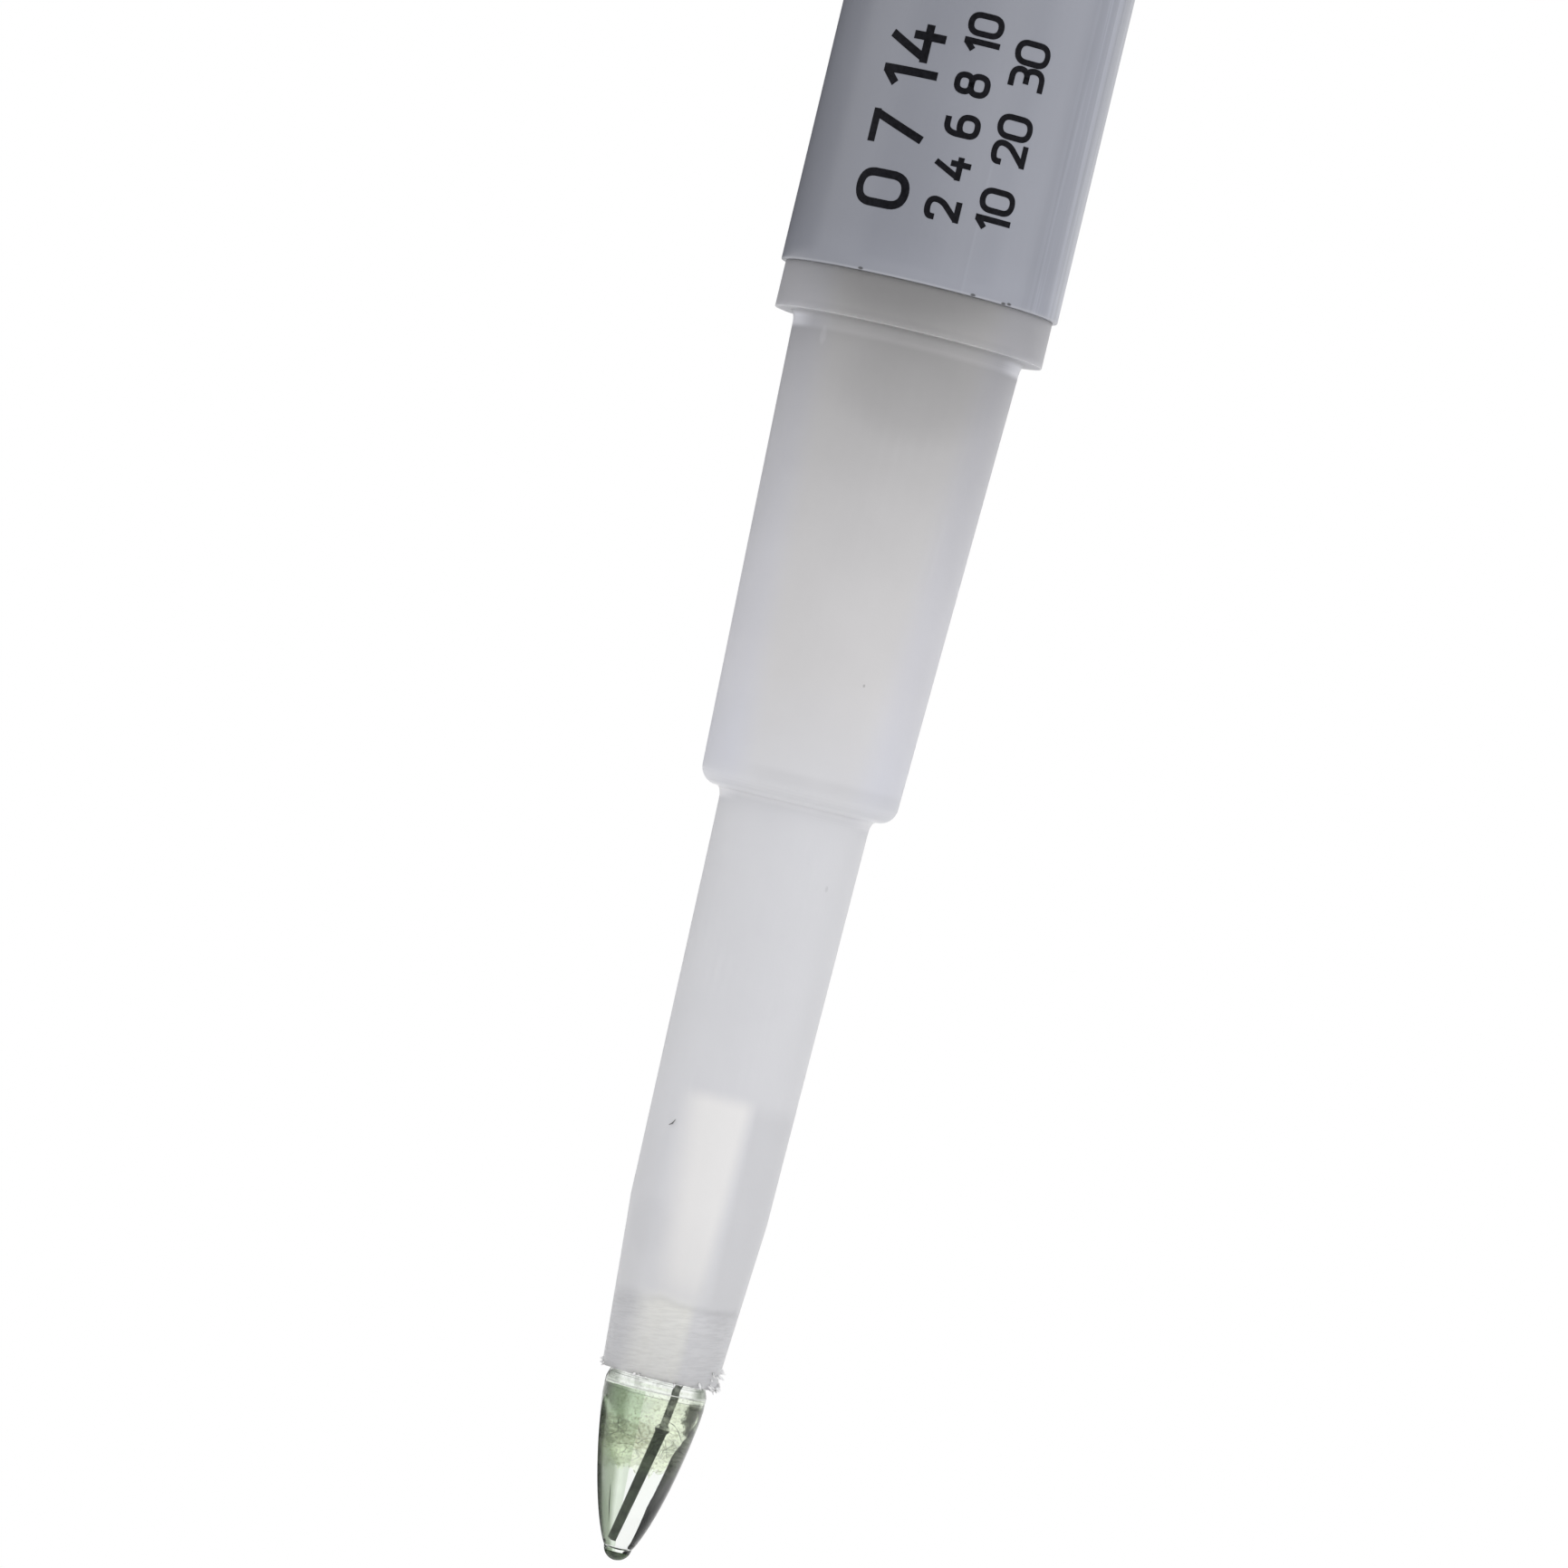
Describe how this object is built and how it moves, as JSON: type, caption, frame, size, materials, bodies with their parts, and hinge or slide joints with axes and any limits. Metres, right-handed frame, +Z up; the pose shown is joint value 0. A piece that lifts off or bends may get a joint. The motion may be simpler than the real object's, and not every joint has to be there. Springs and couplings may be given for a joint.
{
  "type": "ph electrode",
  "caption": "Slim combination probe with a pointed glass tip, a stepped white plastic body and a grey sleeved head with a cable inlet.",
  "frame": {"origin": "the lowest point of the glass tip, on the probe's own axis", "axes": "+Z up the probe from its tip to its cable end; the print faces -Y"},
  "size_m": [0.017, 0.017, 0.122],
  "materials": {
    "body_plastic": "translucent satin",
    "tip_glass": "clear, faintly green",
    "stem_glass": "clear",
    "buffer": "clear gel",
    "bead_glass": "glossy",
    "chloride": "dark rough coating",
    "silver": "drawn",
    "stopper_rubber": "matt",
    "ring_plastic": "satin",
    "lead_plastic": "satin",
    "gel": "cloudy gel",
    "ferrule_brass": "drawn",
    "resin": "cast",
    "head_plastic": "moulded",
    "sleeve_plastic": "satin film",
    "bush_rubber": "matt"
  },
  "bodies": {
    "root": {"outer_body": "body_plastic", "membrane_glass": "tip_glass", "glass_stem": "stem_glass", "inner_buffer": "buffer", "sensing_rod": "chloride", "joint_bead": "bead_glass", "sensing_wire": "silver", "stem_stopper": "stopper_rubber", "centring_ring": "ring_plastic", "sensing_lead_sleeve": "lead_plastic", "reference_gel": "gel", "reference_rod": "chloride", "reference_wire": "silver", "reference_lead_sleeve": "lead_plastic", "body_bung": "stopper_rubber", "core_ferrule": "ferrule_brass", "screen_ferrule": "ferrule_brass", "potting": "resin", "head_shell": "head_plastic", "label_sleeve": "sleeve_plastic", "cable_inlet_bush": "bush_rubber"}
  },
  "joints": []
}
